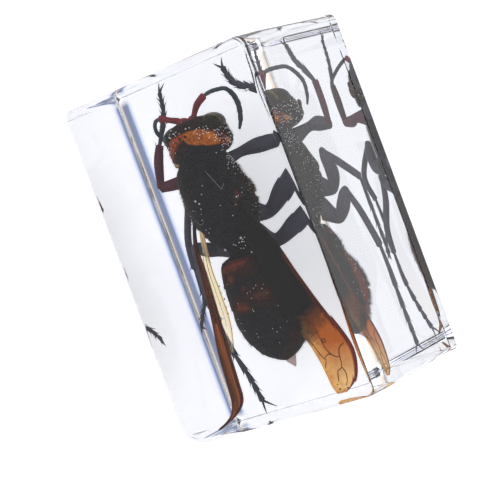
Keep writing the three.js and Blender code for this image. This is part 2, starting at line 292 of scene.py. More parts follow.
def layFloor(look):
    # painted board: matt, pale and even, with a faint mottle
    board, tree, output = newMaterial("paintedBoardMatt")
    place = addNode(tree, "ShaderNodeTexCoord")
    mottle = addNode(tree, "ShaderNodeTexNoise", {"Scale": 1 / (look["mottleSize"] * unit), "Detail": 3.0},
                     {"Vector": place.outputs["Object"]})
    colour = addNode(tree, "ShaderNodeMix", {
        "data_type": "RGBA", 6: look["floorColour"], 7: look["floorMottle"],
    }, {0: mottle.outputs["Fac"]})
    surface = addNode(tree, "ShaderNodeBsdfPrincipled", {
        "Roughness": 0.9, "Specular IOR Level": 0.1,
        "Emission Color": "#FFFFFF", "Emission Strength": look["floorGlow"],
    }, {"Base Color": colour.outputs[2]})
    tree.links.new(surface.outputs[0], output.inputs["Surface"])
    half = look["floorSize"] / 2
    corners = [(-half, -half), (half, -half), (half, half), (-half, half)]
    mesh = bpy.data.meshes.new("floor")
    mesh.from_pydata([Vector((x, y, -look["floorGap"])) * unit for x, y in corners], [], [(0, 1, 2, 3)])
    mesh.materials.append(board)
    floor = bpy.data.objects.new("floor", mesh)
    scene.collection.objects.link(floor)


placeCamera(studio)
lightStudio(studio)
layFloor(studio)
scene.view_settings.view_transform = "Standard"
scene.cycles.max_bounces = 24            # light crosses the block several times
scene.cycles.transmission_bounces = 20
scene.cycles.glossy_bounces = 12
scene.cycles.diffuse_bounces = 4
scene.cycles.transparent_max_bounces = 16
print("camera, lights and floor made")


blockLook = {
    "width": 28.0, "length": 43.0, "height": 21.0,
    "cornerRadii": (1.0, 0.8, 1.0, 0.6),       # head right, head left, tail left, tail right
    "frontCornerRadii": (1.7, 1.0, 3.0, 1.2),  # the corners are rounder at the front face
    "rounderFrom": 16.5,
    "frontRounding": (0.75, 0.7, 0.7, 0.7),    # right, head, left and tail edges of the front face
    "rightEdgeAtTail": 0.25,                   # the right edge gets sharper towards the tail
    "backRounding": (0.35, 0.35, 0.55, 0.35),
    # the lowest part stands out a little all round, where the open side of the mould was
    "lipHeight": 1.8, "lipReach": 0.14, "lipStep": 0.1, "lipShareBelowStep": 0.55,
    "cornerSteps": 40,
    "roundingSteps": 32,
    "rollOffFrom": 12.05,                      # the front face falls away to the right from here
    "rollOffAngle": 3.0,
    "index": 1.55,
    "tint": "#BECBEC",
    "tintDensity": 7.0,
    "surfaceReflection": "#C8C8C8",            # about 0.6 of what bare epoxy reflects
    # the painted fringe of colours, standing in for light split at the back left edge and the shade there:
    # its stops run inwards between these places, and it fades out upwards and towards the two ends
    "fringeAcross": (-14.0, -12.4), "fringeHeights": (0.6, 0.72), "fringeEnds": (20.3, 21.1),
    "fringe": ((0.0, "#E0BC88"), (0.1, "#B09C8C"), (0.18, "#4C5878"), (0.6, "#56648A"), (0.74, "#B0C2F0"),
               (1.0, "#FFFFFF")),
}


def roundingAt(normal, radii, rightChange=0.0):
    right, head, left, tail = radii
    sideways = right + rightChange if normal[0] > 0 else left
    lengthways = head if normal[1] > 0 else tail
    return sideways * normal[0] ** 2 + lengthways * normal[1] ** 2


def blockOutline(look, radii):
    outline = []
    for corner, ((signX, signY), radius) in enumerate(zip(((1, 1), (-1, 1), (-1, -1), (1, -1)), radii)):
        centre = (signX * (look["width"] / 2 - radius), signY * (look["length"] / 2 - radius))
        for step in range(look["cornerSteps"] + 1):
            angle = (corner + step / look["cornerSteps"]) * math.pi / 2
            normal = (math.cos(angle), math.sin(angle))
            outline.append((centre[0] + radius * normal[0], centre[1] + radius * normal[1], normal))
    return outline


def epoxyMaterial(look):
    # cast epoxy, ground and polished: clear as glass, with soft edges that bend the light hard
    material, tree, output = newMaterial("epoxyCastPolished")
    # painted light and shade: the tan, slate and pale blue that light split into colours shows at the rounded
    # edge at the back on the left, painted into the base colour
    place = addNode(tree, "ShaderNodeTexCoord")
    axes = addNode(tree, "ShaderNodeSeparateXYZ", links={0: place.outputs["Object"]})
    lengthways = addNode(tree, "ShaderNodeMath", {"operation": "ABSOLUTE"}, {0: axes.outputs["Y"]})
    across, above, beyond = [
        addNode(tree, "ShaderNodeMapRange", {"From Min": start * unit, "From Max": end * unit},
                {"Value": socket})
        for (start, end), socket in ((look["fringeAcross"], axes.outputs["X"]),
                                     (look["fringeHeights"], axes.outputs["Z"]),
                                     (look["fringeEnds"], lengthways.outputs[0]))]
    fringe = addNode(tree, "ShaderNodeValToRGB", links={0: across.outputs[0]})
    stops = fringe.color_ramp.elements
    for index, (position, hexText) in enumerate(look["fringe"]):
        stop = stops[index] if index < len(stops) else stops.new(position)
        stop.position = position
        stop.color = linearColour(hexText)
    plain = addNode(tree, "ShaderNodeMath", {"operation": "MAXIMUM"},
                    {0: above.outputs[0], 1: beyond.outputs[0]})
    colour = addNode(tree, "ShaderNodeMix", {"data_type": "RGBA", 7: "#FFFFFF"},
                     {0: plain.outputs[0], 6: fringe.outputs["Color"]})
    surface = addNode(tree, "ShaderNodeBsdfPrincipled", {
        "Roughness": 0.0, "IOR": look["index"],
        "Transmission Weight": 1.0, "Specular Tint": look["surfaceReflection"],
    }, {"Base Color": colour.outputs[2]})
    body = addNode(tree, "ShaderNodeVolumeAbsorption",
                   {"Color": look["tint"], "Density": look["tintDensity"]})
    tree.links.new(surface.outputs[0], output.inputs["Surface"])
    tree.links.new(body.outputs[0], output.inputs["Volume"])
    return material


def resinBlock(look):
    wallOutline = blockOutline(look, look["cornerRadii"])
    frontOutline = blockOutline(look, look["frontCornerRadii"])
    rings = []
    steps = look["roundingSteps"]
    for level in range(2 * steps + 2):
        isBack = level <= steps
        turn = (level if isBack else 2 * steps + 1 - level) / steps * math.pi / 2
        radii = look["backRounding"] if isBack else look["frontRounding"]
        ring = []
        for x, y, normal in wallOutline if isBack else frontOutline:
            tailShare = 0 if isBack else 0.5 - y / look["length"]
            rightChange = (look["rightEdgeAtTail"] - look["frontRounding"][0]) * tailShare
            radius = roundingAt(normal, radii, rightChange)
            inset = radius * (1 - math.sin(turn)) + (0 if isBack else look["lipReach"])
            depth = radius * (1 - math.cos(turn))
            z = depth if isBack else look["height"] - depth
            ring.append((x - normal[0] * inset, y - normal[1] * inset, z))
        rings.append(ring)
        if level == steps:
            for share, z in ((look["lipShareBelowStep"], look["lipHeight"] - look["lipStep"]),
                             (1.0, look["lipHeight"]), (1.0, look["rounderFrom"])):
                lip = look["lipReach"] * share
                rings.append([(x - n[0] * lip, y - n[1] * lip, z) for x, y, n in wallOutline])
    sides = len(wallOutline)
    points = [p for ring in rings for p in ring]
    faces = [tuple(range(sides))[::-1], tuple((len(rings) - 1) * sides + s for s in range(sides))]
    for r in range(len(rings) - 1):
        for s in range(sides):
            n = (s + 1) % sides
            faces.append((r * sides + s, r * sides + n, (r + 1) * sides + n, (r + 1) * sides + s))
    block = newPiece("resin_block", [(points, faces)], epoxyMaterial(look), smooth=False)
    shell = bmesh.new()
    shell.from_mesh(block.data)
    crease = look["rollOffFrom"] * unit
    bmesh.ops.bisect_plane(shell, geom=shell.verts[:] + shell.edges[:] + shell.faces[:],
                           plane_co=(crease, 0, 0), plane_no=(1, 0, 0))
    fall = math.tan(math.radians(look["rollOffAngle"]))
    nearFront = 0.9 * look["height"] * unit
    for vertex in shell.verts:
        if vertex.co.x > crease and vertex.co.z > nearFront:
            vertex.co.z -= (vertex.co.x - crease) * fall
    shell.to_mesh(block.data)
    shell.free()
    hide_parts("resin_upper_half", "resin_lower_half")


resinBlock(blockLook)
print("resin block made")


# Sections are y, half width, half height, centre x, centre z.
headLook = {
    "sections": [
        (15.2, 0, 0, -0.5, 12.0), (15.0, 2.2, 2.3, -0.5, 11.9), (14.2, 3.6, 3.7, -0.4, 11.4),
        (13.2, 4.15, 4.5, -0.45, 11.0), (12.0, 4.3, 4.8, -0.5, 10.6), (11.1, 4.15, 4.7, -0.65, 10.4),
        (10.3, 3.4, 3.4, -0.8, 10.9), (9.8, 0, 0, -0.8, 11.4),
    ],
    "rings": 90, "sides": 96, "lumpiness": 0.07,
    "grooves": [(12.55, 0.25, 0.05)],
    "shell": "#1C0F0B", "ragged": 0.8,
    "markings": [
        ("orangeBand", "#C0661C", 0.4, [
            [(-0.7, 13.45, 15.3, 0.3), (0.2, 13.05, 15.3, 0.75), (1.5, 12.6, 14.9, 1.0),
             (2.6, 12.1, 14.0, 0.8), (3.3, 11.6, 12.2, 0.5), (3.4, 11.3, 10.8, 0.35)]]),
        ("brightStripe", "#E88A2C", 0.4, [[(2.3, 12.6, 14.3, 0.15), (3.0, 11.9, 13.3, 0.2),
                                           (3.4, 11.2, 11.5, 0.2)]]),
        ("redCheek", "#5E1C16", 0.8, [
            [(-2.2, 12.5, 15.0, 0.3), (-4.0, 12.3, 13.4, 0.9), (-4.2, 10.9, 12.4, 1.0)],
            [(3.2, 12.3, 12.9, 0.35), (3.5, 11.4, 12.2, 0.45), (3.1, 10.6, 11.8, 0.45)]]),
        ("leftPatch", "#A84A1E", 0.9, [
            [(-3.6, 12.3, 14.2, 0.6), (-2.9, 13.0, 14.8, 0.6), (-1.7, 13.3, 15.3, 0.45),
             (-0.8, 13.4, 15.4, 0.35)],
            [(-3.6, 12.3, 14.2, 0.4), (-3.7, 11.6, 14.0, 0.3)]]),
        # the head's black back, with painted shade where the thorax reaches over it
        ("shadedNape", "#1C1A20", 0.35, [
            [(-2.3, 10.6, 14.5, 0.75), (-0.9, 11.2, 15.2, 0.95), (1.0, 10.9, 15.0, 0.95),
             (2.5, 10.3, 13.9, 0.75), (3.2, 10.1, 12.0, 0.6)],
            [(-1.5, 10.0, 13.8, 0.9), (1.5, 10.0, 13.6, 0.9)]]),
        ("palePatch", "#C0A074", 0.4, [[(-3.9, 10.7, 13.2, 0.3), (-3.2, 10.45, 13.7, 0.3)]]),
    ],
}
thoraxLook = {
    "sections": [
        (11.6, 0, 0, -0.2, 12.7), (11.3, 2.6, 2.3, -0.3, 12.7), (10.6, 3.2, 2.75, -0.3, 12.5),
        (9.5, 3.85, 3.2, -0.55, 12.3),
        (8.2, 4.25, 3.7, -0.55, 12.1), (6.8, 4.5, 4.1, -0.4, 11.9), (5.3, 4.7, 4.7, -0.2, 11.6),
        (3.8, 4.6, 4.5, -0.2, 11.6), (2.2, 4.2, 4.1, 0, 11.7), (0.6, 3.4, 3.4, 0.2, 11.9),
        (-0.6, 2.2, 2.1, 0.3, 12.1), (-1.5, 1.2, 1.2, 0.4, 12.2), (-2.4, 0, 0, 0.4, 12.2),
    ],
    "rings": 120, "sides": 96, "lumpiness": 0.12,
    "grooves": [(4.3, 0.2, 0.2), (2.4, 0.18, 0.16), (1.2, 0.15, 0.1)],
    "shell": "#0C0C13", "ragged": 0.4,
    "markings": [
        ("wingRoots", "#5E2A1E", 0.6, [[(3.4, 5.2, 14.6, 0.3), (3.6, 4.7, 14.3, 0.25)],
                                        [(-4.6, 4.9, 13.2, 0.3)]]),
        ("shoulder", "#4A1E18", 1.0, [[(3.2, 4.6, 14.6, 0.5), (3.0, 3.4, 14.8, 0.4)],
                                      [(2.6, -0.4, 11.0, 0.6)]]),
    ],
}
gasterLook = {
    "sections": [
        (-1.4, 0, 0, 0.4, 12.3), (-1.7, 2.3, 1.6, 0.5, 12.3), (-2.3, 3.7, 2.3, 0.5, 12.3),
        (-3.6, 4.3, 2.9, 0.7, 12.2), (-5.2, 4.7, 3.1, 0.8, 12.1), (-6.7, 4.8, 3.7, 0.8, 11.8),
        (-8.1, 4.9, 4.4, 0.8, 11.5), (-9.6, 4.9, 4.6, 0.8, 11.3), (-11.0, 4.6, 4.25, 0.7, 11.1),
        (-12.1, 4.3, 3.5, 0.7, 11.0), (-13.1, 3.6, 2.9, 0.7, 11.0), (-14.1, 2.6, 2.2, 0.6, 10.9),
        (-14.9, 1.3, 1.2, 0.6, 10.8), (-15.3, 0, 0, 0.6, 10.7),
    ],
    "rings": 150, "sides": 96, "lumpiness": 0.08,
    "plates": [-2.2, -4.9, -7.7, -10.2, -12.3, -13.8],   # where each ring of the shell ends
    "plateStep": 0.1, "firstPlateLength": 1.0, "lastPlateLength": 1.4,
    "shell": "#0E0A10", "ragged": 0.15,
    "markings": [
        ("flush", "#34150E", 2.8, [
            [(-2.6, -3.6, 13.8, 1.2), (1.6, -3.4, 14.6, 1.0)],
            [(-2.8, -7.4, 14.2, 1.0), (2.6, -6.8, 15.2, 1.2)],
            [(3.6, -12.2, 12.8, 0.8), (1.2, -14.4, 12.0, 0.5)]]),
        ("firstBand", "#843422", 2.6, [
            [(-2.6, -2.9, 13.8, 0.1), (-0.3, -2.7, 14.7, 0.3), (1.4, -2.5, 14.7, 0.0)],
            [(-1.7, -4.1, 14.6, 0.2)]]),
        ("secondBand", "#7E301E", 2.6, [
            [(-1.9, -7.5, 15.0, 0.2), (-0.7, -7.8, 15.5, 0.3)], [(-0.2, -5.5, 15.2, 0.0)]]),
        ("thirdBlotch", "#663A22", 2.6, [[(1.4, -6.9, 15.4, 0.1), (2.6, -6.9, 15.3, 0.2)]]),
        ("underside", "#842E1A", 1.6, [
            [(4.0, -2.6, 11.0, 0.8)], [(5.1, -5.6, 10.4, 0.5), (5.3, -8.1, 9.9, 1.0), (4.9, -11.0, 9.4, 1.1)],
            [(4.0, -12.6, 9.6, 0.9), (1.4, -14.5, 9.7, 0.6)]]),
        ("flankSpot", "#D0782C", 0.5, [[(4.95, -9.7, 13.5, 0.3), (4.9, -10.1, 13.5, 0.25)]]),
    ],
}
stingLook = {
    "path": [(0.7, -14.2, 10.6, 1.15), (0.7, -15.3, 10.0, 0.7), (0.75, -16.3, 9.6, 0.12)],
    "colour": "#A08A86",
}


shellFinish = {
    "roughness": 0.6, "index": 1.56, "gloss": 0.05,
    "patchSize": 1.6, "speckSize": 0.35, "pitSize": 0.16, "pitDepth": 0.03,
    "markFrom": 0.2, "markFull": 0.75,          # a marking's weight where its colour starts and is full
    "burntFrom": 0.42, "burntFull": 0.65, "burntValue": 0.4,
}


def chitin(name, shell, markings=(), ragged=0.0):
    # insect shell wetted by resin: dark and finely pitted, with hardly any gloss left
    material, tree, output = newMaterial(name)
    place = addNode(tree, "ShaderNodeTexCoord")
    patches = addNode(tree, "ShaderNodeTexNoise", {
        "Scale": 1 / (shellFinish["patchSize"] * unit), "Detail": 4.0, "Roughness": 0.6,
    }, {"Vector": place.outputs["Object"]})
    lighter = addNode(tree, "ShaderNodeHueSaturation", {"Value": 1.9, "Color": shell})
    colour = addNode(tree, "ShaderNodeMix", {"data_type": "RGBA", 6: shell},
                     {0: patches.outputs["Fac"], 7: lighter.outputs[0]})
    specks = addNode(tree, "ShaderNodeTexNoise", {
        "Scale": 1 / (shellFinish["speckSize"] * unit), "Detail": 3.0,
    }, {"Vector": place.outputs["Object"]})
    for markName, markColour, _, _ in markings:
        weight = addNode(tree, "ShaderNodeAttribute", {"attribute_name": markName})
        broken = addNode(tree, "ShaderNodeMath", {"operation": "MULTIPLY_ADD", 1: ragged},
                         {0: specks.outputs["Fac"], 2: weight.outputs["Fac"]})
        share = addNode(tree, "ShaderNodeMapRange", {
            "From Min": ragged / 2 + shellFinish["markFrom"],
            "From Max": ragged / 2 + shellFinish["markFull"],
        }, {"Value": broken.outputs[0]})
        burnt = addNode(tree, "ShaderNodeMapRange", {
            "From Min": shellFinish["burntFrom"], "From Max": shellFinish["burntFull"],
            "To Min": 1.0, "To Max": shellFinish["burntValue"],
        }, {"Value": specks.outputs["Fac"]})
        stained = addNode(tree, "ShaderNodeHueSaturation", {"Color": markColour}, {"Value": burnt.outputs[0]})
        colour = addNode(tree, "ShaderNodeMix", {"data_type": "RGBA"},
                         {0: share.outputs[0], 6: colour.outputs[2], 7: stained.outputs[0]})
    pits = addNode(tree, "ShaderNodeTexVoronoi", {"Scale": 1 / (shellFinish["pitSize"] * unit)},
                   {"Vector": place.outputs["Object"]})
    bump = addNode(tree, "ShaderNodeBump", {"Strength": 0.25, "Distance": shellFinish["pitDepth"] * unit},
                   {"Height": pits.outputs["Distance"]})
    surface = addNode(tree, "ShaderNodeBsdfPrincipled", {
        "Roughness": shellFinish["roughness"], "IOR": shellFinish["index"],
        "Specular IOR Level": shellFinish["gloss"],
    }, {"Base Color": colour.outputs[2], "Normal": bump.outputs[0]})
    tree.links.new(surface.outputs[0], output.inputs["Surface"])
    return material


bodyFinish = {
    "flankLean": math.radians(31.9), "flankReach": 6.0, "flankSoftness": 0.8,
    "sectionSteps": 12, "bumpsPerMillimetre": 0.7,
}


def pressFlank(point):
    # the body is flat low down on its left: points beyond the flat are moved back towards it
    lean, softness = bodyFinish["flankLean"], bodyFinish["flankSoftness"]
    normal = Vector((math.sin(lean), 0, math.cos(lean)))
    beyond = bodyFinish["flankReach"] + softness - point.dot(normal)
    if beyond > 0:
        point += normal * (beyond - softness * (1 - math.exp(-beyond / softness)))
    return point


def bodyShell(look):
    sections = [(0, s[0], 0, *s[1:]) for s in look["sections"]]
    path = evenPath(smoothPath(sections, bodyFinish["sectionSteps"]), look["rings"] + 2)
    plates = look.get("plates", [])
    rings = []
    for row in path[1:-1]:
        y, halfWidth, halfHeight, centreX, centreZ = row[1], row[3], row[4], row[5], row[6]
        offset = -sum(depth * math.exp(-((y - at) / width) ** 2)
                      for at, width, depth in look.get("grooves", []))
        if plates:
            # each plate widens backwards and then drops to the next one
            ahead = [p for p in plates if p >= y]
            behind = [p for p in plates if p < y]
            start = ahead[-1] if ahead else plates[0] + look["firstPlateLength"]
            end = behind[0] if behind else plates[-1] - look["lastPlateLength"]
            share = (start - y) / (start - end)
            offset += look["plateStep"] * (share - 1)
        ring = []
        for side in range(look["sides"]):
            angle = 2 * math.pi * side / look["sides"]
            # grooves and steps get shallower where the body is thin
            scale = max(min(halfWidth, halfHeight), 0.05)
            reach = 1 + offset * min(scale, 1) / max(scale, 0.6)
            point = Vector((centreX + halfWidth * math.cos(angle) * reach, y,
                            centreZ + halfHeight * math.sin(angle) * reach))
            point += noise.noise_vector(point * bodyFinish["bumpsPerMillimetre"]) * look["lumpiness"]
            ring.append(pressFlank(point))
        rings.append(ring)
    ends = [Vector((row[5], row[1], row[6])) for row in (path[0], path[-1])]
    return ringsToPart(rings, *ends)


bodyPieces = []
for pieceName, look, matName in (
    ("wasp_head", headLook, "headShellHardened"),
    ("wasp_thorax", thoraxLook, "thoraxShellHardened"),
    ("wasp_gaster", gasterLook, "gasterShellHardened"),
):
    material = chitin(matName, look["shell"], look["markings"], ragged=look["ragged"])
    piece = newPiece(pieceName, [bodyShell(look)], material)
    paintMarkings(piece, look["markings"])
    bodyPieces.append(piece)
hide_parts("wasp")
newPiece("wasp_sting_tip", [tube(smoothPath(stingLook["path"], 8), 24)],
         chitin("stingSheathDried", stingLook["colour"]))
print("head, thorax and gaster made")

eyeLook = {
    "eyes": [((2.2, 13.7, 11.2), (1.75, 1.35, 2.95)), ((-2.9, 13.7, 11.9), (1.7, 1.35, 2.6))],
    "simpleEyes": [(-0.25, 13.3, 15.45), (-1.1, 13.3, 15.45), (-0.7, 12.8, 15.6)],
    "simpleEyeSize": (0.2, 0.2, 0.16),
    "rims": [[(1.0, 14.6, 12.6, 0.1), (2.2, 15.0, 12.3, 0.15), (3.3, 14.6, 12.3, 0.12),
              (3.9, 13.8, 12.0, 0.1)],
             [(-4.7, 13.2, 12.9, 0.15), (-4.5, 14.3, 12.7, 0.15)]],
    "rimSoftness": 0.3,
    "dark": "#120E0A", "gold": "#2C2410", "rim": "#9A8030",
    "patchSize": 1.2, "facetSize": 0.09, "facetDepth": 0.02,
}


def eyeMaterial(look):
    # compound eye: thousands of fine facets over a dark olive ground, gold where the light grazes
    material, tree, output = newMaterial("compoundEyeDried")
    place = addNode(tree, "ShaderNodeTexCoord")
    patches = addNode(tree, "ShaderNodeTexNoise", {"Scale": 1 / (look["patchSize"] * unit), "Detail": 2.0},
                      {"Vector": place.outputs["Object"]})
    share = addNode(tree, "ShaderNodeMapRange", {"From Min": 0.4, "From Max": 0.7},
                    {"Value": patches.outputs["Fac"]})
    ground = addNode(tree, "ShaderNodeMix", {"data_type": "RGBA", 6: look["dark"], 7: look["gold"]},
                     {0: share.outputs[0]})
    rim = addNode(tree, "ShaderNodeAttribute", {"attribute_name": "eyeRim"})
    colour = addNode(tree, "ShaderNodeMix", {"data_type": "RGBA", 7: look["rim"]},
                     {0: rim.outputs["Fac"], 6: ground.outputs[2]})
    facets = addNode(tree, "ShaderNodeTexVoronoi", {"Scale": 1 / (look["facetSize"] * unit)},
                     {"Vector": place.outputs["Object"]})
    bump = addNode(tree, "ShaderNodeBump", {"Strength": 0.4, "Distance": look["facetDepth"] * unit},
                   {"Height": facets.outputs["Distance"]})
    surface = addNode(tree, "ShaderNodeBsdfPrincipled", {
        "Roughness": 0.3, "IOR": 1.52, "Specular IOR Level": 0.08,
    }, {"Base Color": colour.outputs[2], "Normal": bump.outputs[0]})
    tree.links.new(surface.outputs[0], output.inputs["Surface"])
    return material


eyes = newPiece("wasp_eyes", [lump(centre, half, 36, 48) for centre, half in eyeLook["eyes"]]
                + [lump(centre, eyeLook["simpleEyeSize"], 10, 16) for centre in eyeLook["simpleEyes"]],
                eyeMaterial(eyeLook))
paintStrokes(eyes, "eyeRim", eyeLook["rims"], eyeLook["rimSoftness"])

jawLook = {
    "jaws": [((1.3, 12.0, 7.4), (1.0, 1.1, 1.3)), ((-0.7, 12.2, 8.1), (1.0, 1.1, 1.3))],
    "tips": [[(1.9, 12.2, 7.0, 0.5), (1.7, 12.7, 6.4, 0.35), (1.1, 13.0, 6.2, 0.12)],
             [(-0.9, 12.8, 7.6, 0.5), (-0.2, 13.2, 7.0, 0.35), (0.5, 13.3, 6.7, 0.12)]],
    "lumpiness": 0.1, "colour": "#3A1C10",
}
newPiece("wasp_jaws", [lump(centre, half, 20, 28, jawLook["lumpiness"]) for centre, half in jawLook["jaws"]]
         + [tube(smoothPath(path, 6), 14) for path in jawLook["tips"]],
         chitin("jawShellHardened", jawLook["colour"]))

antennaLook = {
    "right": {"scape": [(0.3, 14.8, 12.2, 0.45), (0.6, 15.5, 11.8, 0.36), (1.5, 16.4, 11.9, 0.44),
                        (2.9, 17.0, 12.3, 0.46)],
              "lash": [(2.9, 17.0, 12.3, 0.2), (3.6, 17.2, 11.5, 0.27), (4.2, 17.2, 9.9, 0.27),
                       (4.6, 17.0, 8.3, 0.28), (4.8, 16.1, 7.0, 0.36), (4.6, 14.8, 5.9, 0.38),
                       (4.2, 13.2, 5.9, 0.33), (3.7, 12.1, 6.3, 0.16)]},
    "left": {"scape": [(-1.1, 14.9, 12.3, 0.5), (-1.9, 15.5, 12.0, 0.42), (-3.0, 16.0, 11.9, 0.36),
                       (-4.2, 16.6, 12.1, 0.44)],
             "lash": [(-4.2, 16.6, 12.1, 0.2), (-5.2, 16.5, 11.2, 0.27), (-6.0, 16.0, 10.2, 0.28),
                      (-6.5, 15.3, 9.0, 0.29), (-6.6, 14.5, 7.7, 0.3), (-6.3, 13.4, 6.9, 0.26),
                      (-5.8, 12.6, 6.5, 0.14)]},
    "bases": [((0.3, 15.0, 12.4), (0.6, 0.5, 0.65)), ((-0.9, 15.05, 12.6), (0.8, 0.55, 0.65))],
    "baseLumpiness": 0.08,
    "lashSegments": 11, "lashPinch": 0.16,
    "scapeColour": "#6C2A30",
    "lashColour": "#363C44",
}


def segmentedPath(points, segments, pinch, steps=14):
    # a tube path whose radius narrows at the start of each segment
    path = evenPath(smoothPath(points, 10), segments * steps + 1)
    for i, row in enumerate(path):
        share = (i % steps) / steps
        row[3] *= 1 - pinch * (1 - share) ** 2
    return path


scapes, lashes = [], []
for side in ("right", "left"):
    scapes.append(tube(smoothPath(antennaLook[side]["scape"], 10), 18))
    lash = segmentedPath(antennaLook[side]["lash"], antennaLook["lashSegments"], antennaLook["lashPinch"])
    lashes.append(tube(lash, 16))
scapes += [lump(centre, half, 16, 20, antennaLook["baseLumpiness"]) for centre, half in antennaLook["bases"]]
newPiece("wasp_antenna_scapes", scapes, chitin("scapeShellRed", antennaLook["scapeColour"]))
newPiece("wasp_antenna_lashes", lashes, chitin("lashShellVelvety", antennaLook["lashColour"]))
print("face and antennae made")


legLook = {
    "rightFront": {
        "femur": [(0.4, 8.8, 9.6, 1.2), (2.7, 9.5, 7.2, 0.62), (5.8, 9.5, 6.8, 0.95), (9.7, 9.0, 7.2, 0.66)],
        "tibia": [(9.7, 9.0, 7.2, 0.5), (9.9, 11.5, 7.0, 0.62), (9.1, 14.2, 6.4, 0.6)],
        "tarsus": [(9.1, 14.2, 6.4, 0.5), (6.9, 16.1, 6.4, 0.48), (5.2, 17.5, 6.5, 0.46),
                   (4.7, 19.4, 6.8, 0.38)],
        "claws": [(3.8, 20.3, 7.2), (5.1, 20.6, 7.0)], "shade": "red"},
    "leftFront": {
        "femur": [(-2.2, 8.7, 9.4, 1.2), (-4.1, 9.0, 8.3, 0.64), (-6.2, 8.8, 8.6, 0.78),
                  (-8.9, 9.0, 8.8, 0.6)],
        "tibia": [(-8.9, 9.0, 8.8, 0.5), (-8.1, 11.9, 8.4, 0.66), (-7.3, 13.8, 7.9, 0.52)],
        "tarsus": [(-7.3, 13.8, 7.9, 0.4), (-5.6, 16.3, 7.7, 0.36), (-5.0, 17.8, 7.6, 0.34),
                   (-4.7, 19.6, 7.6, 0.3)],
        "claws": [(-4.3, 20.8, 7.5), (-3.6, 20.5, 7.6)], "shade": "red", "thighShade": "red"},
    "rightMiddle": {
        "femur": [(2.6, 2.4, 8.8, 1.3), (4.2, 1.9, 7.7, 0.85), (7.0, 3.5, 8.5, 1.2), (10.2, 5.3, 10.9, 0.95),
                  (11.6, 6.1, 12.0, 0.62)],
        "tibia": [(11.6, 6.1, 12.0, 0.45), (11.3, 4.4, 9.2, 0.55), (11.0, 2.0, 5.7, 0.52)],
        "tarsus": [(11.0, 2.0, 5.7, 0.38), (10.7, -2.5, 5.4, 0.36), (10.2, -7.7, 5.0, 0.3)],
        "claws": [(9.8, -8.6, 4.8), (10.8, -8.5, 5.3)], "shade": "dark"},
    "leftMiddle": {
        "femur": [(-2.6, 2.2, 9.0, 1.3), (-4.0, 2.4, 8.5, 0.85), (-4.9, 3.9, 9.1, 0.95),
                  (-5.75, 5.5, 10.0, 0.62)],
        "tibia": [(-5.75, 5.5, 10.0, 0.45), (-8.2, 1.8, 8.1, 0.5), (-8.4, -1.5, 8.8, 0.46)],
        "tarsus": [(-8.4, -1.5, 8.8, 0.36), (-8.6, -5.4, 9.0, 0.32), (-9.65, -6.9, 8.6, 0.3),
                   (-10.6, -8.3, 8.5, 0.26)],
        "claws": [(-10.9, -9.3, 8.4), (-10.3, -9.0, 8.0)], "shade": "dark"},
    "rightHind": {
        "femur": [(2.2, -0.2, 9.8, 1.5), (4.1, -1.6, 8.7, 0.85), (7.2, -0.6, 9.0, 1.1), (9.3, 0.4, 9.3, 1.0),
                  (10.6, 1.0, 9.4, 0.65)],
        "tibia": [(10.6, 1.0, 9.4, 0.45), (10.7, -2.0, 8.0, 0.58), (10.5, -6.4, 6.5, 0.6)],
        "tarsus": [(10.5, -6.4, 6.5, 0.48), (10.4, -9.5, 6.3, 0.46), (10.1, -13.5, 6.2, 0.44),
                   (9.9, -18.8, 6.0, 0.4)],
        "claws": [(9.4, -19.9, 6.6), (10.2, -19.9, 5.2)], "shade": "dark"},
    "leftHind": {
        "femur": [(-1.8, -0.6, 9.9, 1.4), (-3.6, -0.4, 9.8, 0.85), (-5.1, 0.1, 10.2, 0.9),
                  (-6.6, 0.9, 10.8, 0.65)],
        "tibia": [(-6.6, 0.9, 10.8, 0.45), (-7.1, -2.0, 10.2, 0.58), (-8.0, -5.4, 8.7, 0.58),
                  (-8.1, -8.6, 8.3, 0.5)],
        "tarsus": [(-8.1, -8.6, 8.3, 0.4), (-7.7, -12.4, 8.1, 0.42), (-6.6, -16.1, 8.3, 0.42),
                   (-5.8, -19.1, 8.9, 0.4)],
        "claws": [(-3.9, -20.3, 9.2), (-5.8, -20.9, 9.0)], "shade": "dark"},
}
legFinish = {
    "dark": "#3E3D49", "red": "#4A2832",
    "tarsusShares": (0.0, 0.42, 0.62, 0.76, 0.87, 1.0), "tarsusRings": 90,
    "segmentNarrow": 0.6, "segmentGrowth": 0.5,     # shares of the tarsus's radius
    "spine": {"length": 0.95, "radius": 0.11}, "spur": {"length": 1.15, "radius": 0.1}, "spurAt": 0.93,
    "spineRoot": 0.6, "spineLean": 0.9, "spineScatter": 0.4,
    "clawArch": 0.12, "clawRadii": (0.18, 0.12, 0.03),
    "bristleLength": 0.42, "bristleLengths": (0.6, 1.1), "bristleRadius": 0.028, "bristleRoot": 0.85,
    "bristleOutwards": 0.7, "bristleOnwards": 0.7, "bristlesPerMillimetre": 9,
}


def tarsusPath(points, look):
    # five short segments, each narrow where it starts and wide where it ends
    shares, rings = look["tarsusShares"], look["tarsusRings"]
    path = evenPath(smoothPath(points, 10), rings + 1)
    for i, row in enumerate(path):
        travelled = i / rings
        segment = max(k for k in range(len(shares) - 1) if travelled >= shares[k] - 1e-6)
        local = (travelled - shares[segment]) / (shares[segment + 1] - shares[segment])
        row[3] *= look["segmentNarrow"] + look["segmentGrowth"] * local
    return path


def spotOnPath(path, index):
    spot = Vector(path[index][:3])
    return spot, (Vector(path[index + 1][:3]) - spot).normalized()


